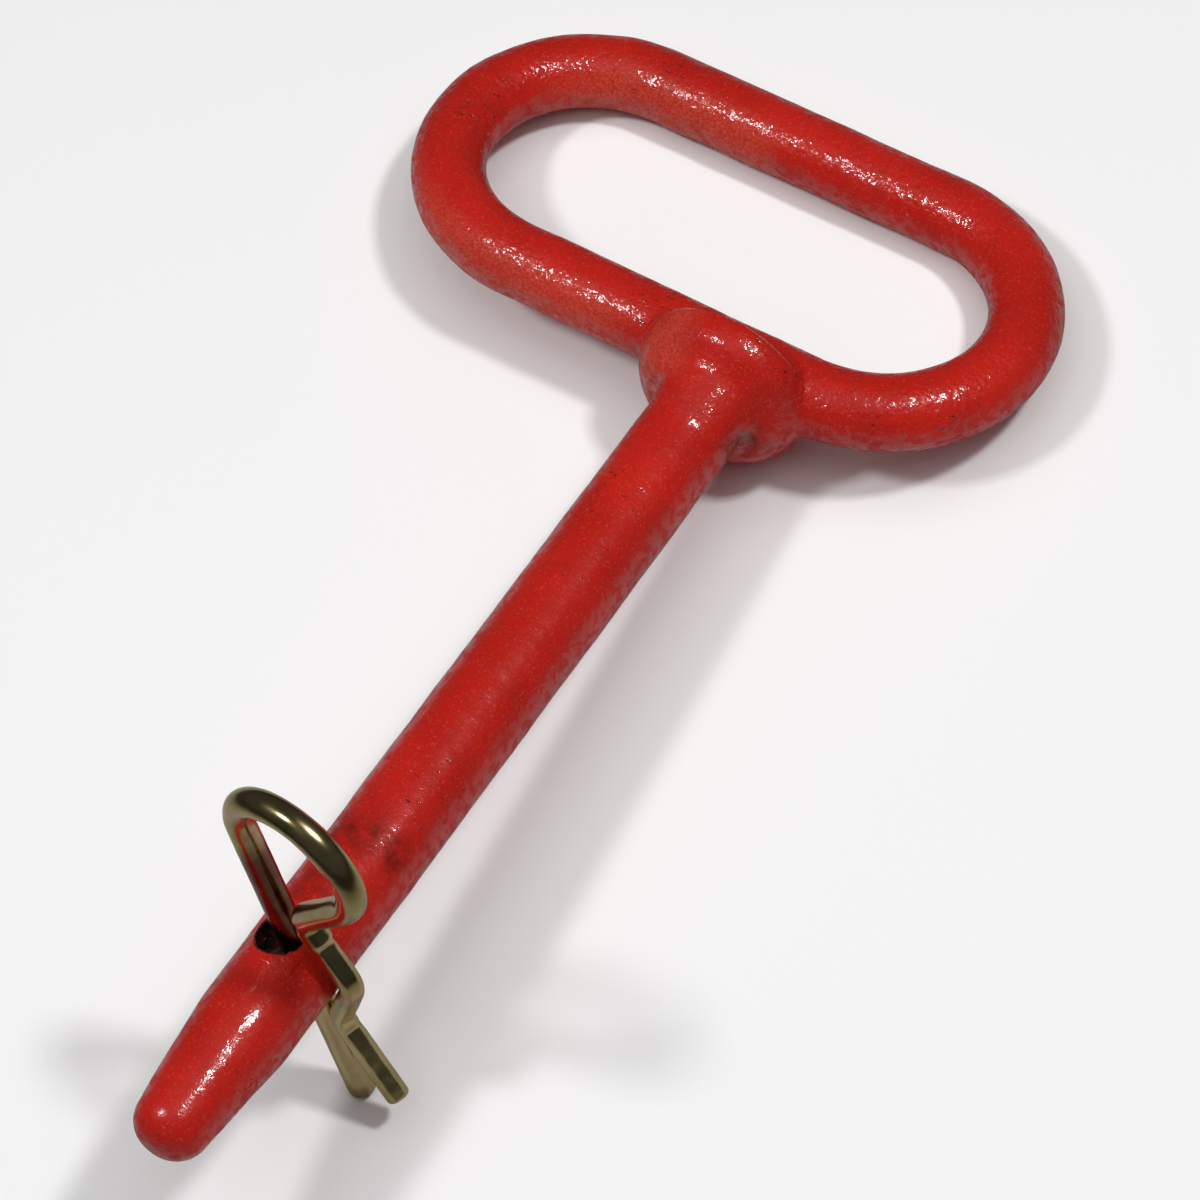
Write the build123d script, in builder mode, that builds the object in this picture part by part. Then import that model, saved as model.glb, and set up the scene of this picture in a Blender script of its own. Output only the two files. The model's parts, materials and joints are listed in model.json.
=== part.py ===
from build123d import *

import os
from math import acos, atan2, cos, degrees, hypot, radians, sin, sqrt, tan

# Hitch pin with a closed grip handle and a spring clip, at its real size in millimetres.
# Each piece is drawn in the pin's own frame: the origin is the middle of the handle's near bar,
# +X runs along that bar, +Y along the shaft from the tip to the head, and +Z away from the clip's legs.
# The last lines then lay the whole pin down as it comes to rest, with +Z up and the floor at z = 0.

# Shaft, forged head and tip
shaft_d = 19.0
pin_length = 200.5
taper_start = 172.0
tip_d = 13.6
tip_round = 6.2
head_d = 36.2
head_back = 2.4
head_front = 14.6
head_back_round = 1.0
head_rim_land = 2.0
head_slope_start = 10.4
seat_width = 1.6
seat_round = 1.2
head_root_round = 1.6

# Cross hole for the clip
hole_d = 9.5
hole_station = 156.2
hole_turn = 13.2
hole_edge = 0.4

# Handle: a closed ring of round bar, leaning back from the shaft's line
bar_d = 15.5
bar_straight = 66.8
handle_bend_r = 29.3
handle_lean = 6.45
shaft_offset = 18.6

# Spring clip: a straight leg, a round grip ring, a throat, and an arm that hugs the shaft
wire_d = 5.5
arm_d = 4.6
grip_ring_d = 20.0
ring_height = 39.2
leg_reach = 40.9
clip_swivel = 7.0
seat_gap = 0.2
seat_turn = 30.0
throat_across = 6.3
throat_height = 17.1
throat_r = 3.8
swage_start = 5.2
swage_length = 2.2
grip_line_turn = 30.5
shoulder_above = 7.7
shoulder_r = 6.4
neck_below = 9.5
neck_r = 6.0
end_length = 22.0
end_flare = 18.8
wire_end_round = 1.3

shaft_r = shaft_d / 2
bar_r = bar_d / 2
wire_r = wire_d / 2
arm_r = arm_d / 2


# Handle, swept along its racetrack centreline
lean = radians(handle_lean)
handle_plane = Plane(origin=(0, 0, 0), x_dir=(1, 0, 0), z_dir=(0, sin(lean), cos(lean)))

with BuildPart() as handle:
    with BuildLine(handle_plane) as handle_line:
        near_bar = Line((bar_straight / 2, 0), (-bar_straight / 2, 0))
        left_bend = CenterArc((-bar_straight / 2, handle_bend_r), handle_bend_r, 270, -180)
        far_bar = Line(left_bend @ 1, (bar_straight / 2, 2 * handle_bend_r))
        right_bend = CenterArc((bar_straight / 2, handle_bend_r), handle_bend_r, 90, -180)
    with BuildSketch(Plane(origin=near_bar @ 0, z_dir=near_bar % 0)):
        Circle(bar_r)
    sweep(path=handle_line.wires()[0])


# Pin: shaft, tapered tip and round head turned as one profile, then the saddle and the cross hole.
# The head slopes from its rim down to a narrow flat seat round the shaft's root. The rim's rounding takes up
# what its land leaves of the rim, as far as the slope still has room for the seat's own rounding.
seat_r = shaft_r + head_root_round + seat_width
slope_across = head_d / 2 - seat_r
slope_along = head_front - head_slope_start
rim_room = head_slope_start - head_back - head_back_round - head_rim_land
rim_reach = min(rim_room, hypot(slope_across, slope_along) - seat_round)
head_rim_round = rim_reach / tan(atan2(slope_across, slope_along) / 2)
profile_plane = Plane(origin=(shaft_offset, 0, 0), x_dir=(1, 0, 0), z_dir=(0, 0, 1))
hole_angle = radians(hole_turn)
hole_plane = Plane(
    origin=(shaft_offset, -hole_station, 0),
    x_dir=(cos(hole_angle), 0, sin(hole_angle)),
    z_dir=(0, -1, 0),
)
hole_axis_plane = Plane(origin=hole_plane.origin, z_dir=hole_plane.y_dir)

with BuildPart() as pin:
    with BuildSketch(profile_plane):
        with BuildLine():
            FilletPolyline(
                (0, -head_back),
                (head_d / 2, -head_back),
                (head_d / 2, -head_slope_start),
                (seat_r, -head_front),
                (shaft_r, -head_front),
                (shaft_r, -taper_start),
                (tip_d / 2, -pin_length),
                (0, -pin_length),
                radius=[head_back_round, head_rim_round, seat_round, head_root_round, 0, tip_round],
            )
            Line((0, -pin_length), (0, -head_back))
        make_face()
    revolve(axis=Axis(profile_plane.origin, (0, 1, 0)))
    # the handle's bar sits in a half-round saddle across the back of the head
    add(handle.part, mode=Mode.SUBTRACT)
    with Locations(hole_axis_plane):
        Hole(hole_d / 2)
    hole_edges = pin.edges().filter_by(GeomType.BSPLINE).filter_by_position(
        Axis.Y, -hole_station - hole_d, -hole_station + hole_d
    )
    chamfer(hole_edges, hole_edge)


# Spring clip, drawn in the plane of its bent wire: x across from the leg to the arm, y up the leg.
# The leg leans against the side of the cross hole, a little towards the head, and the arm just clears the shaft.
leg_shift = (hole_d - wire_d) / 2 - seat_gap
side_shift = leg_shift * cos(radians(seat_turn))
head_shift = leg_shift * sin(radians(seat_turn))
clip_plane = Plane(hole_plane.location * Location((side_shift, 0, -head_shift), (0, -clip_swivel, 0)))

ring_r = grip_ring_d / 2 + wire_r
ring_centre = (ring_r, ring_height)
throat = (throat_across, throat_height)

# the wire leaves the grip ring on the line from the throat's corner that just touches the ring
throat_distance = hypot(throat[0] - ring_centre[0], throat[1] - ring_centre[1])
throat_bearing = degrees(atan2(throat[1] - ring_centre[1], throat[0] - ring_centre[0]))
ring_exit = throat_bearing + degrees(acos(ring_r / throat_distance))
ring_end = (
    ring_centre[0] + ring_r * cos(radians(ring_exit)),
    ring_centre[1] + ring_r * sin(radians(ring_exit)),
)

# the shaft's centre in this plane, and the line between shoulder and neck that lies along the shaft
swivel_cos = cos(radians(clip_swivel))
shaft_centre = (-side_shift / swivel_cos, 0)
grip_distance = shaft_r / swivel_cos + seat_gap + arm_r
grip_normal = (cos(radians(grip_line_turn)), -sin(radians(grip_line_turn)))
grip_along = (-grip_normal[1], grip_normal[0])


def on_grip_line(height):
    """The point on the grip line that lies this far above the shaft's centre, measured along the line."""
    across = shaft_centre[0] + grip_normal[0] * grip_distance + grip_along[0] * height
    up = shaft_centre[1] + grip_normal[1] * grip_distance + grip_along[1] * height
    return (across, up)


shoulder = on_grip_line(shoulder_above)
neck = on_grip_line(-neck_below)
arm_end = (
    neck[0] + end_length * sin(radians(end_flare)),
    neck[1] - end_length * cos(radians(end_flare)),
)
upper_arm = hypot(shoulder[0] - throat[0], shoulder[1] - throat[1])


def on_upper_arm(distance):
    """The point on the straight upper arm that lies this far from the throat's corner."""
    share = distance / upper_arm
    return (
        throat[0] + share * (shoulder[0] - throat[0]),
        throat[1] + share * (shoulder[1] - throat[1]),
    )


with BuildPart() as clip:
    # leg, grip ring and throat in full wire
    with BuildLine(clip_plane) as full_wire:
        leg = Line((0, -leg_reach), (0, ring_height))
        CenterArc(ring_centre, ring_r, 180, ring_exit - 180)
        FilletPolyline(ring_end, throat, on_upper_arm(swage_start), radius=throat_r)
    with BuildSketch(Plane(origin=leg @ 0, z_dir=leg % 0)):
        Circle(wire_r)
    sweep(path=full_wire.wires()[0])
    # the arm in thinner wire, bent out at the shoulder and in at the neck
    with BuildLine(clip_plane) as thin_wire:
        arm = FilletPolyline(
            on_upper_arm(swage_start + swage_length),
            shoulder,
            neck,
            arm_end,
            radius=[shoulder_r, neck_r],
        )
    with BuildSketch(Plane(origin=arm @ 0, z_dir=arm % 0)) as arm_section:
        Circle(arm_r)
    sweep(path=thin_wire.wires()[0])
    # the short swaged cone between the two
    swage_from = clip_plane.from_local_coords((*on_upper_arm(swage_start), 0))
    with BuildSketch(Plane(origin=swage_from, z_dir=arm % 0)) as wire_section:
        Circle(wire_r)
    loft(sections=[wire_section.sketch, arm_section.sketch])
    # both cut ends are rounded over
    cut_ends = [clip.edges().sort_by_distance(end)[0] for end in (leg @ 0, arm @ 1)]
    fillet(cut_ends, wire_end_round)


# Rest: the far bar and the end of the clip's leg carry the pin, tipped up towards the tip
far_bar_y = 2 * handle_bend_r * cos(lean)
far_bar_z = -2 * handle_bend_r * sin(lean)
leg_end = leg @ 0


def height_at(y, z, tip_up):
    """The height of a point of the pin's frame once the pin is tipped up by this angle."""
    return z * cos(tip_up) - y * sin(tip_up)


def bar_underside(tip_up):
    """The height of the far bar's lowest line."""
    return height_at(far_bar_y, far_bar_z, tip_up) - bar_r


def leg_underside(tip_up):
    """The height of the lowest point of the leg's rounded end, which leans by the hole's turn."""
    upright = cos(hole_angle) * cos(tip_up)
    slant = sqrt(1 - upright**2)
    rounded = wire_end_round * (upright - 1) - (wire_r - wire_end_round) * slant
    return height_at(leg_end.Y, leg_end.Z, tip_up) + rounded


level, steep = 0.0, radians(45)
for _ in range(50):
    tip_up = (level + steep) / 2
    if leg_underside(tip_up) < bar_underside(tip_up):
        level = tip_up
    else:
        steep = tip_up

tipped = Location((0, 0, 0), (-degrees(tip_up), 0, 0))
pieces = {"pin": pin, "handle": handle, "clip": clip}
box = Compound(children=[piece.part.moved(tipped) for piece in pieces.values()]).bounding_box()
at_rest = Location((-box.center().X, -box.center().Y, -box.min.Z)) * tipped

os.makedirs("parts", exist_ok=True)
for name, piece in pieces.items():
    piece.part.locate(at_rest)
    piece.part.label = name
    export_step(piece.part, f"parts/{name}.step")
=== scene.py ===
import json
import math

import bpy
import numpy as np
from mathutils import Matrix


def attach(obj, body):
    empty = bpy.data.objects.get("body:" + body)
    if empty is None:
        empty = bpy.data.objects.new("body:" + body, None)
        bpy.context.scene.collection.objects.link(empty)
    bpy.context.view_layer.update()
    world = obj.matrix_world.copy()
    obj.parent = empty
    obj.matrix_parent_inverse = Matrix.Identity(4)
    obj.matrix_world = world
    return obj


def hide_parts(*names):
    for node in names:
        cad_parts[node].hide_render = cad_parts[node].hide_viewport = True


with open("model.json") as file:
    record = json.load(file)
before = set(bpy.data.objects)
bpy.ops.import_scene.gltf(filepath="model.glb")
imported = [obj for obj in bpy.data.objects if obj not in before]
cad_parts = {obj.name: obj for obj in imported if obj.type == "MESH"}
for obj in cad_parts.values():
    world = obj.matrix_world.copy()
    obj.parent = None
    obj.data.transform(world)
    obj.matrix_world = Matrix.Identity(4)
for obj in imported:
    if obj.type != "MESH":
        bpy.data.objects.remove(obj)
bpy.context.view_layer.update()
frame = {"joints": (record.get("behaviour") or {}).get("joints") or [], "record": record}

MM = 0.001

# Sizes in millimetres and angles in degrees, in the pin's own frame. Stations run along the shaft to the tip,
# from the middle of the handle's near bar, which the head is joined to. Bearings go round the shaft from +x
# towards +z

# The head, turned: its back, rim, sloping front, and seat at the shaft's root
HEAD_R = 18.1
HEAD_BACK = 2.4
HEAD_FRONT = 14.6
HEAD_BACK_ROUND = 1.0
HEAD_RIM_ROOM = 5.0
HEAD_SLOPE_START = 10.4
SEAT_R = 12.7
SEAT_ROUND = 2.0
HEAD_ROOT_ROUND = 2.4

# The head's upper side, which is lower and runs into the shaft by a long neck. It fades in between two
# cosines of the turn from its middle
UPPER_BEARING = 76.0
UPPER_FADE = (0.15, 0.75)
UPPER_BACK_R = 17.6
UPPER_CROWN = 7.2
UPPER_CROWN_ROUND = 6.5
UPPER_FOOT = 12.3
UPPER_FOOT_R = 13.0
UPPER_FOOT_ROUND = 6.0
NECK_END = 23.0
NECK_ROUND = 8.0
NECK_CUT = 30.0

# The shaft's tapered tip, and the cross hole, whose rounded lip has a ring of points at each of these turns
TAPER_START = 172.0
TAPER_SOFTENING = 2.5
PIN_LENGTH = 200.5
TIP_R = 6.8
TIP_ROUND = 6.2
HOLE_R = 4.75
HOLE_STATION = 156.2
HOLE_LIP = 0.55
LIP_TURNS = [22, 45, 68, 90]

# The handle's ring of round bar, the enamel's fillet where it meets the head, and how deep inside the other
# piece points still follow the joint
BAR_R = 7.75
BAR_HALF = 33.4
BEND_R = 29.3
HANDLE_LEAN = 6.45
SHAFT_OFFSET = 18.6
PAINT_FILLET = 1.8
JOINT_DEPTH = 0.9

# The spring clip's wire, bent in its own leaning plane
WIRE_R = 2.75
ARM_R = 2.3
RING_R = 12.75
RING_HEIGHT = 39.2
LEG_REACH = 40.9
CLIP_SWIVEL = 7.0
SEAT_GAP = 0.2
SEAT_TURN = 30.0
THROAT = np.array([6.3, 17.1])
THROAT_R = 3.8
SWAGE_START = 5.2
SWAGE_LENGTH = 1.3
GRIP_TURN = 30.5
SHOULDER_ABOVE = 7.7
SHOULDER_R = 6.4
NECK_BELOW = 9.5
NECK_R = 6.0
END_LENGTH = 22.0
END_FLARE = 18.8
WIRE_END_ROUND = 1.3
ARM_END_ROUND = 0.55

# Tool marks on the arm: nicks past the neck and past the swage, and a flat at this share of its radius, which
# is worked out as far round as its cosine stays above the least
NECK_NICK_PAST = 2.6
NECK_NICK_LENGTH = 1.6
NECK_NICK_DEPTH = 0.42
SWAGE_NICK_PAST = 0.3
SWAGE_NICK_LENGTH = 0.4
SWAGE_NICK_DEPTH = 0.16
NICK_INNER_SHARE = 0.25
FLAT_AT = 0.86
FLAT_TURN = 20.0
LEAST_COSINE = 0.1

# Marks on the paint and the plate. A fade gives where it starts and ends: as cosines where it goes round the
# shaft or the bar, as stations on the pin, and as lengths on the handle and up the clip's leg. A spot of
# painted shade and grime has a station and a bearing
# a band of painted shadow across the shaft, where the clip's ring shades it
RING_SHADOW_STATION = 132.0
RING_SHADOW_FADE = (0.25, 0.75)
# spots of painted shade: in the crease at the shaft's root, and with grime by the hole
SHADE_AND_GRIME_SPOTS = [(145.5, 108.0), (17.5, 12.0)]
SHADE_AND_GRIME_LENGTH = 4.5
# a painted highlight along the head's back rim: how far in it lies and how wide it is
RIM_HIGHLIGHT_IN = 0.3
RIM_HIGHLIGHT_WIDTH = 0.5
HEAD_CALM = 0.5
CALM_FADE = (21, 34)
# a pale painted sheen on the head's left flank and on the ring's front: its share and fades
SHEEN_SHARE = 0.6
HEAD_SHEEN_FADE = (0.15, 0.6)
HEAD_SHEEN_END = (12, 18)
RING_SHEEN_FADE = (0.25, 0.85)
RING_SHEEN_START = (0, 10)
# a painted reflection of the red shaft up the clip's leg: where it starts and ends
RED_REFLECTION_START = (2.0, 6.0)
RED_REFLECTION_END = (32.0, 38.0)
# how bare the metal is on the last rings of points in over the hole's lip
BARE_SHARES = [0.12, 0.28, 0.46, 0.62, 0.8, 1.0, 1.0]

# Unevenness in layers of waves, each with its height, the length of a wave and a seed. The forging's is sunk,
# and what still stands out is cut off. The hole's edge is ragged by waves that run round a circle
WAVE_COUNT = 48
WAVE_SPREAD = (0.7, 1.5)
FORGED_LAYERS = [(0.045, 14, 3), (0.016, 5.5, 4), (0.006, 2.6, 5)]
FORGED_SINK = 0.10
RAGGED_LAYERS = [(0.10, 6, 21), (0.05, 2.2, 26)]
RAGGED_CIRCLE = 10
WIRE_LAYERS = [(0.02, 9, 8), (0.008, 3, 9)]

# Fineness of the meshes: steps along a path, counts of points, rings or cells, and the power by which the
# rings round the hole turn from a square to a circle
PROFILE_STEP = 0.35
HEAD_STEP = 0.45
SHAFT_ROWS = 210
TIP_ARC_STEP = 0.3
TIP_STEP = 0.55
SHAFT_ROUND = 96
WINDOW = 11
MOUTH_RINGS = 9
MOUTH_EASE = 1.35
BORE_STEPS = 14
BAR_STEP = 0.62
BAR_ROUND = 80
RING_POINTS = 220
WIRE_ARC_STEP = 0.2
WIRE_STEP = 0.42
WIRE_ROUND = 44
SETTLING_STEPS = 6

# The pin's own frame at rest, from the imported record: x along the handle's bars, y towards the head, z up
shaft_mount = next(mount for mount in frame["record"]["mounts"] if mount["name"] == "shaft")
SHAFT_R = shaft_mount["dims"]["r_mm"]
X_WAY = np.array([1.0, 0.0, 0.0])
Y_WAY = -np.array(shaft_mount["axis"])
Z_WAY = np.cross(X_WAY, Y_WAY)
GRIP_MIDDLE = (HEAD_FRONT + HOLE_STATION) / 2
ORIGIN = np.array(shaft_mount["pos_m"]) / MM - SHAFT_OFFSET * X_WAY + GRIP_MIDDLE * Y_WAY

# In that frame: its x and y, and the cross hole's bearing, middle and ways up and across, from the way that
# the clip slides
ALONG_BARS, TOWARDS_HEAD = np.eye(3)[:2]
slide_way = np.array(frame["joints"][0]["axis"])
slide = np.array([slide_way @ X_WAY, slide_way @ Y_WAY, slide_way @ Z_WAY])
HOLE_BEARING = math.atan2(slide[2], slide[0])
HOLE_CENTRE = np.array([SHAFT_OFFSET, -HOLE_STATION, 0])
HOLE_UP = slide / np.linalg.norm(slide)
HOLE_ACROSS = np.cross(TOWARDS_HEAD, HOLE_UP)


def to_row(points):
    """Points of the pin's frame in millimetres, as points of the row's frame in metres."""
    return (ORIGIN + points @ np.array([X_WAY, Y_WAY, Z_WAY])) * MM


def turn(degrees):
    """Cosine and sine of an angle in degrees."""
    return math.cos(math.radians(degrees)), math.sin(math.radians(degrees))


def unit(vectors):
    """Vectors divided by their lengths."""
    return vectors / np.linalg.norm(vectors, axis=-1, keepdims=True)


def waves(points, length, seed):
    """Unevenness of unit spread: the sum of cosine waves in scattered directions, about a length long."""
    rng = np.random.default_rng(seed)
    ways = unit(rng.normal(size=(WAVE_COUNT, 3))).T
    steps = 2 * np.pi / (length * rng.uniform(*WAVE_SPREAD, WAVE_COUNT))
    starts = rng.uniform(0, 2 * np.pi, WAVE_COUNT)
    return np.cos(points @ (ways * steps) + starts).sum(-1) * math.sqrt(2 / WAVE_COUNT)


def lumps(points, layers, shift=0):
    """Layers of waves added up, each given by its height, length and seed; a shift is added to the seeds."""
    return sum(height * waves(points, length, seed + shift) for height, length, seed in layers)


def smooth_step(x, low, high):
    """0 below low, 1 above high, and 3t^2 - 2t^3 between them."""
    t = np.clip((x - low) / (high - low), 0, 1)
    return t * t * (3 - 2 * t)


# Surface grids


def ring_faces(first, rows, columns):
    """Quads between following rings of points, each ring closed on itself."""
    r, c = np.meshgrid(np.arange(rows - 1), np.arange(columns), indexing="ij")
    a = first + r * columns + c
    b = first + r * columns + (c + 1) % columns
    return np.stack([a, b, b + columns, a + columns], -1).reshape(-1, 4)


def strip(one, other):
    """Quads between two closed rings, given by the numbers of their points in step with each other."""
    return np.stack([one, np.roll(one, -1), np.roll(other, -1), other], -1)


def signed_volume(points, quads):
    """Six times the volume inside the quads: the sum of the triple products of their halves."""
    a, b, c, d = (points[quads[:, k]] for k in range(4))
    return np.einsum("ij,ij->", a, np.cross(b, c)) + np.einsum("ij,ij->", a, np.cross(c, d))


def turned_out(points, quads, outwards):
    """The quads, all turned over if they face against the given outward directions of their first points."""
    a, b, c, d = (points[quads[:, k]] for k in range(4))
    agreement = np.einsum("ij,ij->", np.cross(c - a, d - b), outwards[quads[:, 0]])
    return quads[:, ::-1] if agreement < 0 else quads


def make_piece(name, points, quads, fans, material, body, nodes, marks):
    """One closed mesh from points in the pin's frame, quads and end fans, which stands for the CAD nodes."""
    order = -1 if signed_volume(points, quads) < 0 else 1
    faces = quads[:, ::order].tolist() + [fan[::order] for fan in fans]
    mesh = bpy.data.meshes.new(name)
    mesh.from_pydata(to_row(points).tolist(), [], faces)
    mesh.shade_smooth()
    mesh.materials.append(material)
    for mark, values in marks.items():
        mesh.attributes.new(mark, "FLOAT", "POINT").data.foreach_set("value", values.astype(np.float32))
    piece = bpy.data.objects.new(name, mesh)
    bpy.context.scene.collection.objects.link(piece)
    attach(piece, body)
    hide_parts(*nodes)


def arc(centre, radius, start, end, steps):
    """Points on an arc from one bearing to another, in degrees."""
    t = np.radians(np.linspace(start, end, steps))
    return np.stack([centre[0] + radius * np.cos(t), centre[1] + radius * np.sin(t)], -1)


def rounded_path(corners, radii, arc_step):
    """A path in a plane through the corners, each rounded by the arc of its radius that touches its sides."""
    corners = [np.array(c, float) for c in corners]
    path = [corners[0][None]]
    for before, corner, after, radius in zip(corners, corners[1:], corners[2:], radii):
        back, on = unit(before - corner), unit(after - corner)
        half = math.acos(np.clip(back @ on, -1, 1)) / 2
        reach = radius / math.tan(half)
        centre = corner + unit(back + on) * radius / math.sin(half)
        a, b = corner + back * reach - centre, corner + on * reach - centre
        sweep = math.atan2(a[0] * b[1] - a[1] * b[0], a @ b)
        steps = max(3, int(abs(sweep) * radius / arc_step) + 2)
        t = np.linspace(0, sweep, steps)[:, None]
        path.append(centre + a * np.cos(t) + np.array([-a[1], a[0]]) * np.sin(t))
    path.append(corners[-1][None])
    return np.concatenate(path)


def even_path(path, step, count=None):
    """The same path with points evenly along it, about one step apart or this many in all."""
    lengths = np.r_[0, np.cumsum(np.linalg.norm(np.diff(path, axis=0), axis=1))]
    at = np.linspace(0, lengths[-1], count or int(round(lengths[-1] / step)) + 1)
    return np.stack([np.interp(at, lengths, path[:, k]) for k in range(path.shape[1])], -1)


# Shapes of the head and the bar, for the enamel's soft fillet where they meet

SLOPE_TURN = math.atan2(HEAD_R - SEAT_R, HEAD_FRONT - HEAD_SLOPE_START)
head_profile = rounded_path(
    [
        (HEAD_BACK, 0),
        (HEAD_BACK, HEAD_R),
        (HEAD_SLOPE_START, HEAD_R),
        (HEAD_FRONT, SEAT_R),
        (HEAD_FRONT, SHAFT_R),
        (GRIP_MIDDLE, SHAFT_R),
    ],
    [HEAD_BACK_ROUND, HEAD_RIM_ROOM / math.tan(SLOPE_TURN / 2), SEAT_ROUND, HEAD_ROOT_ROUND],
    PROFILE_STEP,
)
upper_profile = rounded_path(
    [
        (HEAD_BACK, 0),
        (HEAD_BACK, UPPER_BACK_R),
        (UPPER_CROWN, HEAD_R),
        (UPPER_FOOT, UPPER_FOOT_R),
        (NECK_END, SHAFT_R),
        (GRIP_MIDDLE, SHAFT_R),
    ],
    [HEAD_BACK_ROUND, UPPER_CROWN_ROUND, UPPER_FOOT_ROUND, NECK_ROUND],
    PROFILE_STEP,
)
HANDLE_LEAN_COS, HANDLE_LEAN_SIN = turn(HANDLE_LEAN)
HANDLE_UP = np.array([0, HANDLE_LEAN_SIN, HANDLE_LEAN_COS])
HANDLE_BACK = np.array([0, HANDLE_LEAN_COS, -HANDLE_LEAN_SIN])


def bar_distance(points):
    """Distance from the handle's surface: from its racetrack centreline, less the bar's radius."""
    past_bar = np.maximum(np.abs(points[:, 0]) - BAR_HALF, 0)
    from_centre = np.hypot(past_bar, points @ HANDLE_BACK - BEND_R)
    return np.hypot(from_centre - BEND_R, points @ HANDLE_UP) - BAR_R


def profile_distance(profile, along, out):
    """Distance from a profile turned round the shaft's axis: to its nearest segment, negative inside."""
    p = np.stack([along, out], -1)[:, None]
    a, b = profile[:-1], profile[1:]
    ab = b - a
    share = np.clip(((p - a) * ab).sum(-1) / (ab * ab).sum(-1), 0, 1)
    nearest = np.linalg.norm(p - a - share[..., None] * ab, axis=-1).min(1)
    front = profile[:, 0] > HEAD_BACK
    edge = np.interp(along, profile[front, 0], profile[front, 1])
    inside = (along > HEAD_BACK) & (out < edge)
    return np.where(inside, -nearest, nearest)


def upper_share(x, z):
    """How far a bearing belongs to the upper side: 1 near its middle, 0 past its edges, smooth in between."""
    middle_cos, middle_sin = turn(UPPER_BEARING)
    return smooth_step((x * middle_cos + z * middle_sin) / (np.hypot(x, z) + 1e-9), *UPPER_FADE)


def head_distance(points):
    """Distance from the head's surface: the turned profile below, the lower one with its long neck above."""
    along = -points[:, 1]
    x, z = points[:, 0] - SHAFT_OFFSET, points[:, 2]
    out = np.hypot(x, z)
    upper = upper_share(x, z)
    turned, lowered = profile_distance(head_profile, along, out), profile_distance(upper_profile, along, out)
    return (1 - upper) * turned + upper * lowered


def joined_distance(points):
    """Soft least of the two distances: the least, less k/4 times the square of (1 - their difference / k)."""
    bar, head = bar_distance(points), head_distance(points)
    near = np.maximum(PAINT_FILLET - np.abs(bar - head), 0) / PAINT_FILLET
    return np.minimum(bar, head) - near * near * PAINT_FILLET / 4


def downhill(distance, points, reach=0.02):
    """Unit direction in which the distance grows fastest, by central differences."""
    slopes = [distance(points + reach * way) - distance(points - reach * way) for way in np.eye(3)]
    return unit(np.stack(slopes, -1) + 1e-12)


def onto_joint(points, chosen):
    """Moves the chosen points onto the soft joined surface, in steps along its steepest direction."""
    moved = points.copy()
    p = moved[chosen]
    for _ in range(SETTLING_STEPS):
        p = p - joined_distance(p)[:, None] * downhill(joined_distance, p)
    moved[chosen] = p
    return moved


def forged(points, normals):
    """Moves points in along their normals, and never out, by the forging's and the enamel's unevenness."""
    depth = np.minimum(lumps(points, FORGED_LAYERS) - FORGED_SINK, 0)
    return points + depth[:, None] * normals


# Materials


class Nodes:
    """Short ways to add shader nodes to a material."""

    def __init__(self, name):
        self.material = bpy.data.materials.new(name)
        self.material.use_nodes = True
        self.tree = self.material.node_tree
        self.shader = self.tree.nodes["Principled BSDF"]
        self.place = self.add("ShaderNodeTexCoord").outputs["Object"]

    def add(self, kind, inputs=None, **settings):
        node = self.tree.nodes.new(kind)
        for key, value in settings.items():
            setattr(node, key, value)
        for key, value in (inputs or {}).items():
            self.feed(node.inputs[key], value)
        return node

    def feed(self, socket, value):
        if isinstance(value, bpy.types.NodeSocket):
            self.tree.links.new(value, socket)
        else:
            socket.default_value = value

    def noise(self, scale, detail, roughness, place=None, distortion=0.0):
        inputs = {
            "Vector": place or self.place,
            "Scale": scale,
            "Detail": detail,
            "Roughness": roughness,
            "Distortion": distortion,
        }
        return self.add("ShaderNodeTexNoise", inputs).outputs["Fac"]

    def stretched(self, scale):
        return self.add("ShaderNodeMapping", {"Vector": self.place, "Scale": scale}).outputs["Vector"]

    def ramp(self, value, low, high, start=0.0, end=1.0):
        inputs = {"Value": value, "From Min": low, "From Max": high, "To Min": start, "To Max": end}
        return self.add("ShaderNodeMapRange", inputs).outputs["Result"]

    def maths(self, operation, a, b):
        return self.add("ShaderNodeMath", {0: a, 1: b}, operation=operation).outputs[0]

    def times(self, a, b):
        return self.maths("MULTIPLY", a, b)

    def mark(self, name):
        return self.add("ShaderNodeAttribute", attribute_name=name).outputs["Fac"]

    def mix(self, share, a, b):
        # a mix of colours takes them in its sockets 6 and 7, and gives the result in its socket 2
        node = self.add("ShaderNodeMix", data_type="RGBA")
        self.feed(node.inputs[0], share)
        self.feed(node.inputs[6], a)
        self.feed(node.inputs[7], b)
        return node.outputs[2]

    def bump(self, height, distance, strength, normal=None):
        inputs = {"Height": height, "Distance": distance, "Strength": strength}
        if normal is not None:
            inputs["Normal"] = normal
        return self.add("ShaderNodeBump", inputs).outputs["Normal"]

    def surface(self, values):
        for key, value in values.items():
            self.feed(self.shader.inputs[key], value)


# Colours of the enamel and of what shows through it
DEEP_RED = (0.40, 0.0095, 0.0050, 1)
BRIGHT_RED = (0.50, 0.0130, 0.0070, 1)
CLOUD_RED = (0.33, 0.0085, 0.0050, 1)
GRAIN_RED = (0.60, 0.075, 0.045, 1)
# a pale painted sheen, on the head's left flank and the ring's front
SHEEN_RED = (0.56, 0.085, 0.050, 1)
SCRATCH_BROWN = (0.055, 0.008, 0.006, 1)
# painted shade and shadow, with some grime, darkening the red
SHADE_AND_GRIME_BROWN = (0.13, 0.006, 0.004, 1)
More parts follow.
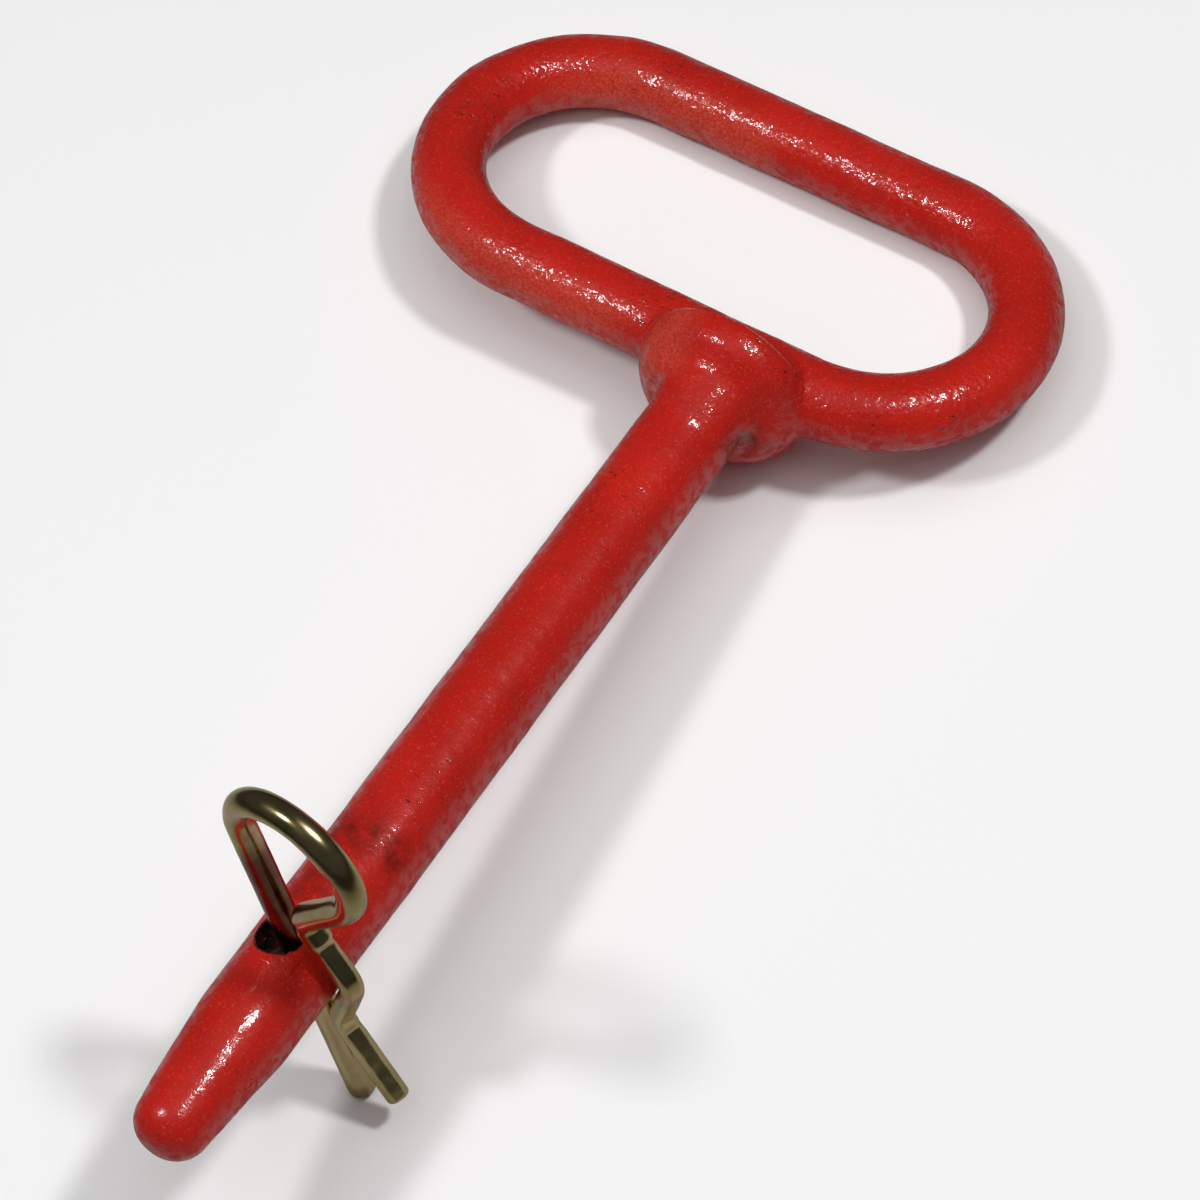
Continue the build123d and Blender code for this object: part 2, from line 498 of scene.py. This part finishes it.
# a painted highlight along the head's back rim
RIM_HIGHLIGHT_PINK = (0.60, 0.22, 0.16, 1)
SCORCHED_BLACK = (0.018, 0.007, 0.006, 1)
SCORCHED_BROWN = (0.13, 0.014, 0.010, 1)

# Relief of the enamel in layers of bumps, each with its scale, its height in millimetres, and whether it is
# fainter where the paint is calm
ENAMEL_RELIEF = [(240, 0.12, False), (520, 0.08, False), (850, 0.22, True), (2600, 0.04, False)]
CALM_RELIEF = 0.2
SCRATCH_DEPTH = 0.10

# Colours of the zinc plate's chromate skin
OLIVE_GOLD = (0.50, 0.39, 0.14, 1)
STRAW_GOLD = (0.76, 0.61, 0.29, 1)
PINK_TINT = (0.80, 0.47, 0.33, 1)
GREEN_TINT = (0.46, 0.50, 0.19, 1)
DARK_GRAIN = (0.20, 0.16, 0.07, 1)
# a painted reflection of the red shaft on the clip's leg, in a dark red-brown
RED_REFLECTION_BROWN = (0.19, 0.062, 0.044, 1)
WIRE_DRAW_HEIGHT = 0.08
WIRE_GRAIN_HEIGHT = 0.02


def plain_red(n, cloud, grain):
    """The enamel's colour: broad and cloudy changes of red, pale grain, and a pale painted sheen where
    marked.
    """
    broad = n.noise(38, 3.0, 0.55)
    red = n.mix(n.ramp(broad, 0.35, 0.65), DEEP_RED, BRIGHT_RED)
    red = n.mix(n.ramp(cloud, 0.5, 0.72, end=0.45), red, CLOUD_RED)
    red = n.mix(n.ramp(grain, 0.58, 0.72, end=0.55), red, GRAIN_RED)
    # a pale painted sheen where marked
    painted_sheen = n.times(n.mark("painted_sheen"), n.ramp(grain, 0.40, 0.60, 0.25, 1.0))
    return n.mix(painted_sheen, red, SHEEN_RED)


def scratches_and_specks(n):
    """How dark short scratches across the shaft, in loose groups, and single specks make the paint."""
    across_shaft = n.stretched((0.28, 1.0, 1.0))
    scratches = n.ramp(n.noise(1250, 2.0, 0.55, across_shaft), 0.62, 0.70)
    groups = n.ramp(n.noise(48, 2.0, 0.5), 0.55, 0.63)
    specks = n.ramp(n.noise(900, 1.0, 0.5), 0.745, 0.785)
    grouped = n.times(n.times(scratches, groups), 0.8)
    return n.maths("MAXIMUM", grouped, n.times(specks, 0.5))


def shade_and_grime(n):
    """How much painted shade and grime darkens the paint, in patches: painted shadow where the clip's ring
    swings over the shaft, painted shade at the shaft's root, and painted shade with grime by the hole.
    """
    return n.times(n.mark("shade_and_grime"), n.ramp(n.noise(330, 3.0, 0.65), 0.36, 0.60, 0.25, 0.9))


def painted_rim_highlight(n, cloud, grain):
    """How much painted highlight lies along the head's back rim, in a broken pale line."""
    broken = n.times(n.ramp(cloud, 0.44, 0.58, end=0.9), n.ramp(grain, 0.40, 0.56, 0.25, 1.0))
    return n.times(n.ramp(n.mark("edge"), 0.25, 0.8), broken)


def scorched_metal(n):
    """How bare the metal is, inside the hole and on its ragged edge, and its scorched colour."""
    ragged = n.maths("ADD", n.mark("bare"), n.ramp(n.noise(900, 3.0, 0.6), 0.3, 0.7, -0.22, 0.22))
    scorching = n.ramp(n.noise(420, 3.0, 0.6), 0.45, 0.62)
    return n.ramp(ragged, 0.42, 0.58), n.mix(scorching, SCORCHED_BLACK, SCORCHED_BROWN)


def enamel_relief(n, dark):
    """Bumps from coarse to fine over one another, with the scratches and specks sunk in."""
    # the paint is most pimpled on the ring, less on the head and least on the shaft
    calmed = n.ramp(n.mark("calm"), 0.0, 1.0, 1.0, CALM_RELIEF)
    normal = None
    for scale, height, less_if_calm in ENAMEL_RELIEF:
        bumps = n.noise(scale, 1.0, 0.5)
        bumps = n.times(bumps, calmed) if less_if_calm else bumps
        normal = n.bump(bumps, height * MM, 1.0, normal)
    return n.bump(n.times(dark, -1.0), SCRATCH_DEPTH * MM, 0.8, normal)


def red_enamel():
    """Thick glossy enamel on a forging: cloudy red, pimpled, scratched, and bare metal at the hole."""
    n = Nodes("red_enamel")
    cloud = n.noise(170, 3.0, 0.6)
    grain = n.noise(1900, 2.0, 0.6)
    dark = scratches_and_specks(n)
    bare_share, scorched = scorched_metal(n)
    red = n.mix(dark, plain_red(n, cloud, grain), SCRATCH_BROWN)
    # painted shadow of the clip's ring, painted shade at the shaft's root, and painted shade with grime by
    # the hole darken the red
    red = n.mix(shade_and_grime(n), red, SHADE_AND_GRIME_BROWN)
    # a broken pale line of painted highlight along the head's back rim
    red = n.mix(painted_rim_highlight(n, cloud, grain), red, RIM_HIGHLIGHT_PINK)
    relief = enamel_relief(n, dark)
    n.surface(
        {
            "Base Color": n.mix(bare_share, red, scorched),
            "Roughness": n.ramp(cloud, 0.3, 0.7, 0.34, 0.46),
            "Specular IOR Level": 0.15,
            # the gloss comes and goes in small islands, so a lamp's streak breaks up into dots
            "Coat Weight": n.ramp(n.noise(430, 1.0, 0.5), 0.43, 0.52, 0.15, 1.0),
            "Coat Roughness": 0.10,
            "Coat IOR": 1.5,
            "Normal": relief,
            "Coat Normal": relief,
        }
    )
    return n.material


def yellow_zinc():
    """Zinc plate with a yellow chromate skin: bright metal, straw to olive, with pink and green tints."""
    n = Nodes("yellow_zinc")
    broad = n.noise(60, 2.0, 0.5, distortion=0.4)
    tint = n.noise(150, 2.0, 0.5, distortion=0.6)
    fine = n.noise(1100, 2.0, 0.6)
    gold = n.mix(n.ramp(broad, 0.36, 0.64), OLIVE_GOLD, STRAW_GOLD)
    gold = n.mix(n.ramp(tint, 0.52, 0.64, end=0.65), gold, PINK_TINT)
    gold = n.mix(n.ramp(tint, 0.32, 0.44, start=0.5, end=0.0), gold, GREEN_TINT)
    gold = n.mix(n.ramp(fine, 0.6, 0.8, end=0.25), gold, DARK_GRAIN)
    # the leg is painted red-brown up from the hole: a painted reflection of the red shaft beside it
    red_reflection = n.times(n.mark("red_shaft_reflection"), n.ramp(tint, 0.35, 0.6, 1.0, 0.86))
    relief = n.bump(n.noise(200, 2.0, 0.5), WIRE_DRAW_HEIGHT * MM, 0.35)
    relief = n.bump(fine, WIRE_GRAIN_HEIGHT * MM, 0.5, relief)
    n.surface(
        {
            "Base Color": n.mix(red_reflection, gold, RED_REFLECTION_BROWN),
            "Metallic": 1.0,
            "Roughness": n.ramp(tint, 0.3, 0.7, 0.18, 0.26),
            "Normal": relief,
        }
    )
    return n.material


enamel = red_enamel()
zinc = yellow_zinc()


# Handle


def handle_piece():
    """The racetrack ring: its centreline plus the bar's radius times (outwards cos a + up sin a)."""
    straight = int(2 * BAR_HALF / BAR_STEP)
    bend = int(math.pi * (BEND_R + BAR_R) / BAR_STEP)
    t = np.linspace(-1, 1, straight, endpoint=False) * BAR_HALF
    angle = np.linspace(0, np.pi, bend, endpoint=False)
    still = np.zeros_like(t)
    # near bar, bend, far bar and bend, as places along the bars and back from the ring's middle
    x = np.r_[t, BAR_HALF + BEND_R * np.sin(angle), -t, -BAR_HALF - BEND_R * np.sin(angle)]
    back = np.r_[still - BEND_R, -BEND_R * np.cos(angle), still + BEND_R, BEND_R * np.cos(angle)]
    out_x = np.r_[still, np.sin(angle), still, -np.sin(angle)]
    out_back = np.r_[still - 1, -np.cos(angle), still + 1, np.cos(angle)]
    centre = x[:, None] * ALONG_BARS + (back + BEND_R)[:, None] * HANDLE_BACK
    outwards = out_x[:, None] * ALONG_BARS + out_back[:, None] * HANDLE_BACK
    around = np.linspace(0, 2 * np.pi, BAR_ROUND, endpoint=False)
    normals = outwards[:, None] * np.cos(around)[:, None] + HANDLE_UP * np.sin(around)[:, None]
    points = (centre[:, None] + BAR_R * normals).reshape(-1, 3)
    normals = normals.reshape(-1, 3)
    head = head_distance(points)
    near = (head > -JOINT_DEPTH) & (head < PAINT_FILLET)
    points = onto_joint(points, near)
    normals[near] = downhill(joined_distance, points[near])
    points = forged(points, normals)
    first_ring = np.arange(BAR_ROUND)
    last_ring = first_ring + (len(centre) - 1) * BAR_ROUND
    quads = np.concatenate([ring_faces(0, len(centre), BAR_ROUND), strip(last_ring, first_ring)])
    # a pale painted sheen on the ring's front, on the half away from the shaft
    front = smooth_step(-(normals @ HANDLE_BACK), *RING_SHEEN_FADE)
    painted_sheen = SHEEN_SHARE * (front * smooth_step(-points[:, 0], *RING_SHEEN_START))
    marks = {"painted_sheen": painted_sheen}
    make_piece("handle_ring", points, quads, [], enamel, "pin_body", ["handle"], marks)


# Pin

THETA = HOLE_BEARING + np.arange(SHAFT_ROUND) * 2 * np.pi / SHAFT_ROUND
WINDOW_STEP = 2 * np.pi * SHAFT_R / SHAFT_ROUND
TAPER_TURN = math.atan2(SHAFT_R - TIP_R, PIN_LENGTH - TAPER_START)


def pin_profiles():
    """Station and radius of each ring of points, turned and on the upper side, and the window's first row."""
    window_half = WINDOW * WINDOW_STEP
    cut = np.array([[NECK_CUT, SHAFT_R]])
    head = even_path(np.concatenate([head_profile[:-1], cut]), HEAD_STEP)
    upper = even_path(np.concatenate([upper_profile[:-1], cut]), HEAD_STEP, len(head))
    shaft = np.linspace(head[-1, 0], HOLE_STATION - window_half, SHAFT_ROWS)[1:]
    window = np.linspace(HOLE_STATION - window_half, HOLE_STATION + window_half, 2 * WINDOW + 1)[1:]
    middle = np.concatenate([shaft, window])
    middle = np.stack([middle, np.full(len(middle), SHAFT_R)], -1)
    tip = rounded_path(
        [
            (HOLE_STATION + window_half, SHAFT_R),
            (TAPER_START, SHAFT_R),
            (PIN_LENGTH, TIP_R),
            (PIN_LENGTH, 0),
        ],
        [TAPER_SOFTENING / math.tan(TAPER_TURN / 2), TIP_ROUND],
        TIP_ARC_STEP,
    )
    tip = even_path(tip, TIP_STEP)[1:-1]
    window_row = len(head) + len(shaft) - 2
    return np.concatenate([head[1:], middle, tip]), np.concatenate([upper[1:], middle, tip]), window_row


def mouth_rings(side):
    """Rings of one mouth: from the window's square edge in to the hole, and over the hole's rounded lip."""
    step = 2 * np.pi / SHAFT_ROUND
    up = np.arange(2 * WINDOW) - WINDOW
    low, high = np.full(2 * WINDOW, -WINDOW), np.full(2 * WINDOW, WINDOW)
    # anticlockwise round the window, as (cells round the shaft, cells along it)
    sides = [(up, low), (high, up), (-up, high), (low, -up)]
    cells = np.concatenate([np.stack(cells_of_side, -1) for cells_of_side in sides])
    across = SHAFT_R * np.sin(cells[:, 0] * step)
    along = cells[:, 1] * WINDOW_STEP
    phi = np.arctan2(along, across)
    circle = np.stack([np.cos(phi), np.sin(phi), np.zeros_like(phi)], -1) * RAGGED_CIRCLE
    mouth = HOLE_R + HOLE_LIP + lumps(circle, RAGGED_LAYERS, shift=0 if side > 0 else 1)
    rings = []
    for share in np.arange(1, MOUTH_RINGS + 1) / MOUTH_RINGS:
        ease = 1 - (1 - share) ** MOUTH_EASE
        a = (1 - ease) * cells[:, 0] * step * SHAFT_R + ease * mouth * np.cos(phi)
        b = (1 - ease) * along + ease * mouth * np.sin(phi)
        bend = a / SHAFT_R
        wrapped = np.stack([SHAFT_R * np.sin(bend), b, SHAFT_R * np.cos(bend)])
        upright = np.stack([a, b, np.sqrt(np.maximum(SHAFT_R**2 - a * a, 0))])
        rings.append((1 - ease) * wrapped + ease * upright)
    for lip in np.radians(LIP_TURNS):
        radial = mouth - HOLE_LIP * math.sin(lip)
        a, b = radial * np.cos(phi), radial * np.sin(phi)
        height = np.sqrt(SHAFT_R**2 - a * a) - HOLE_LIP * (1 - math.cos(lip))
        rings.append(np.stack([a, b, height]))
    return np.array(rings).transpose(0, 2, 1), cells


def hole_mouth(side, first, window_row):
    """One mouth of the hole: its points, their outward directions and bare shares, its faces, and its lip."""
    rings, cells = mouth_rings(side)
    # bearing grows from +x to +z; the hole's way across points towards falling bearing on the upper side
    across = rings[..., :1] * HOLE_ACROSS * side
    placed = HOLE_CENTRE + across - rings[..., 1:2] * TOWARDS_HEAD + rings[..., 2:] * HOLE_UP * side
    middle_column = 0 if side > 0 else SHAFT_ROUND // 2
    column = (middle_column - cells[:, 0]) % SHAFT_ROUND
    edge = (window_row + WINDOW + cells[:, 1]) * SHAFT_ROUND + column
    points = placed.reshape(-1, 3)
    from_centre = points - HOLE_CENTRE
    radial = from_centre - np.outer(from_centre @ TOWARDS_HEAD, TOWARDS_HEAD)
    bare = np.zeros(placed.shape[:2])
    bare[-len(BARE_SHARES) :] = np.array(BARE_SHARES)[:, None]
    seam = strip(edge, first + np.arange(len(edge)))
    faces = np.concatenate([seam, ring_faces(first, len(placed), len(edge))])
    return points, unit(radial), bare.ravel(), faces, placed[-1]


def match_bearings(lip, other_lip):
    """For each point of one lip, the point of the other lip at the nearest bearing round the hole."""

    def bearing(of_lip):
        away = of_lip - HOLE_CENTRE
        return np.arctan2(away[:, 1], away @ HOLE_ACROSS)

    gap = bearing(lip)[:, None] - bearing(other_lip)[None]
    gap = np.abs((gap + np.pi) % (2 * np.pi) - np.pi)
    start = int(gap[0].argmin())
    rows = np.arange(len(lip))
    ahead = (start + rows) % len(lip)
    behind = (start - rows) % len(lip)
    return ahead if gap[rows, ahead].sum() < gap[rows, behind].sum() else behind


def hole_bore(lips, first):
    """The bore: rings blended from one lip to the other, their inward directions, and their faces."""
    (lip_start, lip), (other_start, other_lip) = lips
    order = match_bearings(lip, other_lip)
    shares = np.linspace(0, 1, BORE_STEPS + 1)[1:-1, None, None]
    points = (lip * (1 - shares) + other_lip[order] * shares).reshape(-1, 3)
    inwards = HOLE_CENTRE + np.outer((points - HOLE_CENTRE) @ HOLE_UP, HOLE_UP) - points
    ring = np.arange(len(lip))
    last = first + (BORE_STEPS - 2) * len(lip)
    entry = strip(first + ring, lip_start + ring)
    wall = ring_faces(first, BORE_STEPS - 1, len(lip))
    way_out = strip(last + ring, other_start + order)
    return points, unit(inwards), [entry, wall, way_out]


def shade_and_grime_spot(reach, station, bearing):
    """A soft round spot at a station and a bearing in degrees: e to the minus square of the distance."""
    turned = np.abs((THETA - math.radians(bearing) + np.pi) % (2 * np.pi) - np.pi) * SHAFT_R
    return np.exp(-((np.hypot(reach - station, turned) / SHADE_AND_GRIME_LENGTH) ** 2))


def pin_marks(reach, radii, ring, upper):
    """Where the grid's paint has a painted highlight along the rim, painted shade and grime, calm or a
    painted sheen, from 0 to 1.
    """
    rim_r = (1 - upper) * HEAD_R + upper * UPPER_BACK_R
    from_rim = np.hypot(reach - HEAD_BACK - RIM_HIGHLIGHT_IN, radii - rim_r + RIM_HIGHLIGHT_IN)
    # painted shadow in a band where the clip's ring shades the shaft's top, and spots of painted shade at the
    # root and, with grime, by the hole
    in_ring_shadow = np.exp(-(((reach - RING_SHADOW_STATION) / SHADE_AND_GRIME_LENGTH) ** 2))
    ring_shadow = in_ring_shadow * smooth_step(ring[:, 2], *RING_SHADOW_FADE)
    spots = [shade_and_grime_spot(reach, station, bearing) for station, bearing in SHADE_AND_GRIME_SPOTS]
    # a pale painted sheen on the head's left flank
    left_flank = SHEEN_SHARE * smooth_step(-ring[:, 0], *HEAD_SHEEN_FADE)
    return {
        # the edge mark carries a painted highlight along the head's back rim
        "edge": np.exp(-((from_rim / RIM_HIGHLIGHT_WIDTH) ** 2)),
        "shade_and_grime": np.maximum.reduce([ring_shadow, *spots]),
        "calm": HEAD_CALM + (1 - HEAD_CALM) * smooth_step(reach, *CALM_FADE),
        "painted_sheen": left_flank * (1 - smooth_step(reach, *HEAD_SHEEN_END)),
    }


def pin_piece():
    """Head, shaft and tip as rings round the shaft's axis, with the hole let into two windows of the grid."""
    turned, lowered, window_row = pin_profiles()
    ring = np.stack([np.cos(THETA), np.zeros(SHAFT_ROUND), np.sin(THETA)], -1)
    upper = upper_share(ring[:, 0], ring[:, 2])
    reach = (1 - upper) * turned[:, :1] + upper * lowered[:, :1]
    radii = (1 - upper) * turned[:, 1:] + upper * lowered[:, 1:]
    points = radii[..., None] * ring + (SHAFT_OFFSET * ALONG_BARS - reach[..., None] * TOWARDS_HEAD)
    slopes = np.stack([np.gradient(turned[:, 0]), np.gradient(turned[:, 1])])
    outwards, backwards = slopes / np.hypot(*slopes)
    normals = outwards[:, None, None] * ring + backwards[:, None, None] * TOWARDS_HEAD
    points, normals = points.reshape(-1, 3), normals.reshape(-1, 3)
    near = (reach.ravel() < NECK_CUT) & (bar_distance(points) > -JOINT_DEPTH)
    points = onto_joint(points, near)
    normals[near] = downhill(joined_distance, points[near])

    # the grid's faces, but for a window above and one below for the hole's mouths
    quads = ring_faces(0, len(turned), SHAFT_ROUND)
    row = (quads[:, 0] // SHAFT_ROUND) - window_row
    column = quads[:, 0] % SHAFT_ROUND
    in_row = (row >= 0) & (row < 2 * WINDOW)
    top = (column < WINDOW) | (column >= SHAFT_ROUND - WINDOW)
    under = (column >= SHAFT_ROUND // 2 - WINDOW) & (column < SHAFT_ROUND // 2 + WINDOW)
    groups = [quads[~(in_row & (top | under))]]

    bare = [np.zeros(len(points))]
    lips = []
    for side in (1, -1):
        mouth_points, mouth_normals, mouth_bare, faces, lip = hole_mouth(side, len(points), window_row)
        points, normals = np.concatenate([points, mouth_points]), np.concatenate([normals, mouth_normals])
        bare.append(mouth_bare)
        groups.append(faces)
        lips.append((len(points) - len(lip), lip))
    bore_points, bore_normals, bore_faces = hole_bore(lips, len(points))
    points, normals = np.concatenate([points, bore_points]), np.concatenate([normals, bore_normals])
    bare.append(np.ones(len(bore_points)))
    groups += bore_faces
    quads = np.concatenate([turned_out(points, group, normals) for group in groups])
    points = forged(points, normals)

    # one point, amid the end ring, closes each end
    back_ring = np.arange(SHAFT_ROUND)
    tip_ring = back_ring + (len(turned) - 1) * SHAFT_ROUND
    back_pole = np.full(SHAFT_ROUND, len(points))
    back_fan = np.stack([back_pole, np.roll(back_ring, -1), back_ring], -1)
    tip_fan = np.stack([back_pole + 1, tip_ring, np.roll(tip_ring, -1)], -1)
    fans = np.concatenate([back_fan, tip_fan]).tolist()
    ends = np.stack([points[back_ring].mean(0), points[tip_ring].mean(0)])
    points = np.concatenate([points, ends])
    marks = {"bare": np.concatenate([*bare, np.zeros(len(ends))])}
    for mark, values in pin_marks(reach, radii, ring, upper).items():
        marks[mark] = np.concatenate([values.ravel(), np.zeros(len(points) - values.size)])
    make_piece("pin_forging", points, quads, fans, enamel, "pin_body", ["pin"], marks)


# Spring clip

# The leg lies off the hole's axis to rest on its wall: this far across the hole and towards the head
SEAT_LEAN = HOLE_R - WIRE_R - SEAT_GAP
SEAT_COS, SEAT_SIN = turn(SEAT_TURN)
SEAT_ACROSS, SEAT_BACK = SEAT_LEAN * SEAT_COS, SEAT_LEAN * SEAT_SIN
SWIVEL_COS, SWIVEL_SIN = turn(CLIP_SWIVEL)


def clip_path():
    """The wire's centreline in its own plane, x across from the leg and y up it, its swage and its neck."""
    ring_centre = np.array([RING_R, RING_HEIGHT])
    to_throat = THROAT - ring_centre
    distance = np.linalg.norm(to_throat)
    leaves = math.degrees(math.atan2(to_throat[1], to_throat[0]) + math.acos(RING_R / distance))
    grip_cos, grip_sin = turn(GRIP_TURN)
    normal, way = np.array([grip_cos, -grip_sin]), np.array([grip_sin, grip_cos])
    shaft_middle = np.array([-SEAT_ACROSS / SWIVEL_COS, 0])
    foot = shaft_middle + normal * (SHAFT_R / SWIVEL_COS + SEAT_GAP + ARM_R)
    shoulder, neck = foot + way * SHOULDER_ABOVE, foot - way * NECK_BELOW
    flare_cos, flare_sin = turn(END_FLARE)
    end = neck + END_LENGTH * np.array([flare_sin, -flare_cos])
    # the ring starts on its left, where the leg runs into it
    ring = arc(ring_centre, RING_R, 180, leaves, RING_POINTS)
    corners = [ring[-1], THROAT, shoulder, neck, end]
    lower = rounded_path(corners, [THROAT_R, SHOULDER_R, NECK_R], WIRE_ARC_STEP)
    path = np.concatenate([[[0, -LEG_REACH]], ring, lower[1:]])
    swage_point = THROAT + SWAGE_START * unit(shoulder - THROAT)
    return path, swage_point, neck


def wire_radius(at, around, swage_at, neck_at):
    """The radius along and around the wire: swaged, rounded at both ends, nicked and pressed flat."""
    past_swage = smooth_step(at, swage_at, swage_at + SWAGE_LENGTH)
    radius = WIRE_R - (WIRE_R - ARM_R) * past_swage
    # both cut ends are rounded over: a quarter circle of the end's rounding
    for from_end, rounding in ((at, WIRE_END_ROUND), (at[-1] - at, ARM_END_ROUND)):
        inset = np.clip(1 - from_end / rounding, 0, 1)
        radius = radius - rounding * (1 - np.sqrt(1 - inset**2))
    # tool marks: shallow nicks past the neck and past the swage, deepest on the wire's outer side
    past_neck = at - neck_at - NECK_NICK_PAST
    nick = np.where(past_neck > 0, np.exp(-past_neck / NECK_NICK_LENGTH), 0) * NECK_NICK_DEPTH
    from_nick = at - swage_at - SWAGE_LENGTH - SWAGE_NICK_PAST
    nick = nick + np.exp(-((from_nick / SWAGE_NICK_LENGTH) ** 2)) * SWAGE_NICK_DEPTH
    outer = np.clip(-np.cos(around), 0, 1) ** 2
    r = radius[:, None] - nick[:, None] * (NICK_INNER_SHARE + (1 - NICK_INNER_SHARE) * outer)
    # the thinner wire is pressed flat on its outer side
    flat = FLAT_AT * r / np.maximum(np.cos(around - np.pi + math.radians(FLAT_TURN)), LEAST_COSINE)
    return r + past_swage[:, None] * (np.minimum(r, flat) - r)


def clip_piece():
    """The bent wire: rings square to the path, in full wire up to the swage and in thinner wire after it."""
    path, swage_point, neck = clip_path()
    path = even_path(path, WIRE_STEP)
    at = np.r_[0, np.cumsum(np.linalg.norm(np.diff(path, axis=0), axis=1))]
    tangent = unit(np.gradient(path, axis=0))
    swage_at = at[np.linalg.norm(path - swage_point, axis=1).argmin()]
    neck_at = at[np.linalg.norm(path - neck, axis=1).argmin()]
    around = np.linspace(0, 2 * np.pi, WIRE_ROUND, endpoint=False)
    r = wire_radius(at, around, swage_at, neck_at)

    # the wire's plane swivels about the hole's axis, and the leg starts from its seat in the hole
    start = HOLE_CENTRE + SEAT_ACROSS * HOLE_ACROSS + SEAT_BACK * TOWARDS_HEAD
    across_way = SWIVEL_COS * HOLE_ACROSS - SWIVEL_SIN * TOWARDS_HEAD
    plane_normal = np.cross(across_way, HOLE_UP)
    centre = start + path[:, :1] * across_way + path[:, 1:] * HOLE_UP
    # the way to the clip's inner side: the tangent turned clockwise
    inwards = tangent[:, 1:] * across_way - tangent[:, :1] * HOLE_UP
    normals = inwards[:, None] * np.cos(around)[:, None] + plane_normal * np.sin(around)[:, None]
    points = (centre[:, None] + r[..., None] * normals).reshape(-1, 3)
    points = points + lumps(points, WIRE_LAYERS)[:, None] * normals.reshape(-1, 3)

    quads = ring_faces(0, len(path), WIRE_ROUND)
    last = (len(path) - 1) * WIRE_ROUND
    fans = [list(range(WIRE_ROUND))[::-1], list(range(last, last + WIRE_ROUND))]
    up_leg = at - LEG_REACH
    # the leg carries a painted reflection of the red shaft, up from the hole
    red_shaft_reflection = smooth_step(up_leg, *RED_REFLECTION_START) * (1 - smooth_step(up_leg, *RED_REFLECTION_END))
    marks = {"red_shaft_reflection": red_shaft_reflection.repeat(WIRE_ROUND)}
    make_piece("clip_wire", points, quads, fans, zinc, "clip_body", ["clip"], marks)


handle_piece()
pin_piece()
clip_piece()


# Floor, light and camera

FLOOR_HALF = 3.0
FLOOR_GREY = (0.88, 0.88, 0.88, 1)
MIRRORED_FROM, MIRRORED_TO = 0.10, 0.30
MIRRORED_NEAR, MIRRORED_FAR = 0.34, 0.02
ROOM_COLOUR = (0.80, 0.82, 0.86, 1)
ROOM_STRENGTH = 0.05


def floor():
    """A plain pale sheet, far wider than the pin, which the pin's gloss mirrors as dark a short way off."""
    mesh = bpy.data.meshes.new("floor")
    corners = [(x * FLOOR_HALF, y * FLOOR_HALF, 0) for x, y in ((-1, -1), (1, -1), (1, 1), (-1, 1))]
    mesh.from_pydata(corners, [], [(0, 1, 2, 3)])
    n = Nodes("pale_floor")
    away = n.add("ShaderNodeVectorMath", {0: n.place}, operation="LENGTH").outputs["Value"]
    mirrored = n.ramp(away, MIRRORED_FROM, MIRRORED_TO, MIRRORED_NEAR, MIRRORED_FAR)
    in_gloss = n.add("ShaderNodeLightPath").outputs["Is Glossy Ray"]
    n.surface(
        {
            "Base Color": n.mix(in_gloss, FLOOR_GREY, mirrored),
            "Roughness": 0.9,
            "Specular IOR Level": 0.1,
        }
    )
    mesh.materials.append(n.material)
    sheet = bpy.data.objects.new("floor", mesh)
    bpy.context.scene.collection.objects.link(sheet)


def facing(place, back, roll=0.0):
    """The matrix of a lamp or camera at a place whose back points this way, turned by a roll in degrees."""
    back = unit(back)
    right = unit(np.cross([0, 0, 1], back))
    up = np.cross(back, right)
    c, s = turn(roll)
    right, up = c * right + s * up, c * up - s * right
    matrix = Matrix.Identity(4)
    for k, column in enumerate((right, up, back, place)):
        matrix.col[k][:3] = column.tolist()
    return matrix


def compass(azimuth, elevation):
    """The direction at an azimuth from -y towards +x and an elevation above the floor, in degrees."""
    ca, sa = turn(azimuth)
    ce, se = turn(elevation)
    return np.array([sa * ce, -ca * ce, se])


def softbox(name, azimuth, elevation, distance, side, watts, mirrored=True):
    """A square area lamp that looks at the middle of the pin; one that isn't mirrored only lights."""
    lamp = bpy.data.lights.new(name, "AREA")
    lamp.shape = "RECTANGLE"
    lamp.size, lamp.size_y = side, side
    lamp.energy = watts
    back = compass(azimuth, elevation)
    holder = bpy.data.objects.new(name, lamp)
    holder.matrix_world = facing(back * distance, back)
    holder.visible_glossy = mirrored
    bpy.context.scene.collection.objects.link(holder)


def studio():
    """Two small bright lamps, right and left of the camera, one wide soft light above, and a dim room."""
    world = bpy.data.worlds.new("studio")
    world.use_nodes = True
    room = world.node_tree.nodes["Background"].inputs
    room["Color"].default_value = ROOM_COLOUR
    room["Strength"].default_value = ROOM_STRENGTH
    bpy.context.scene.world = world
    softbox("right_lamp", azimuth=122, elevation=64, distance=1.3, side=0.13, watts=6.5)
    softbox("left_lamp", azimuth=311, elevation=61, distance=1.3, side=0.16, watts=5.5)
    softbox("soft_light", azimuth=41, elevation=86, distance=1.1, side=1.1, watts=5.6, mirrored=False)


floor()
studio()

CAMERA_AIM = np.array([0.021511, 0.00971, 0.020])
CAMERA_AZIMUTH, CAMERA_ELEVATION, CAMERA_ROLL = 41.2987, 61.0726, -11.214
CAMERA_DISTANCE, CAMERA_LENS, SENSOR = 0.871295, 136.695, 36.0

lens = bpy.data.cameras.new("camera")
lens.sensor_width, lens.lens = SENSOR, CAMERA_LENS
camera = bpy.data.objects.new("camera", lens)
camera_back = compass(CAMERA_AZIMUTH, CAMERA_ELEVATION)
camera.matrix_world = facing(CAMERA_AIM + CAMERA_DISTANCE * camera_back, camera_back, CAMERA_ROLL)
bpy.context.scene.collection.objects.link(camera)
bpy.context.scene.camera = camera
bpy.context.scene.view_settings.view_transform = "Standard"
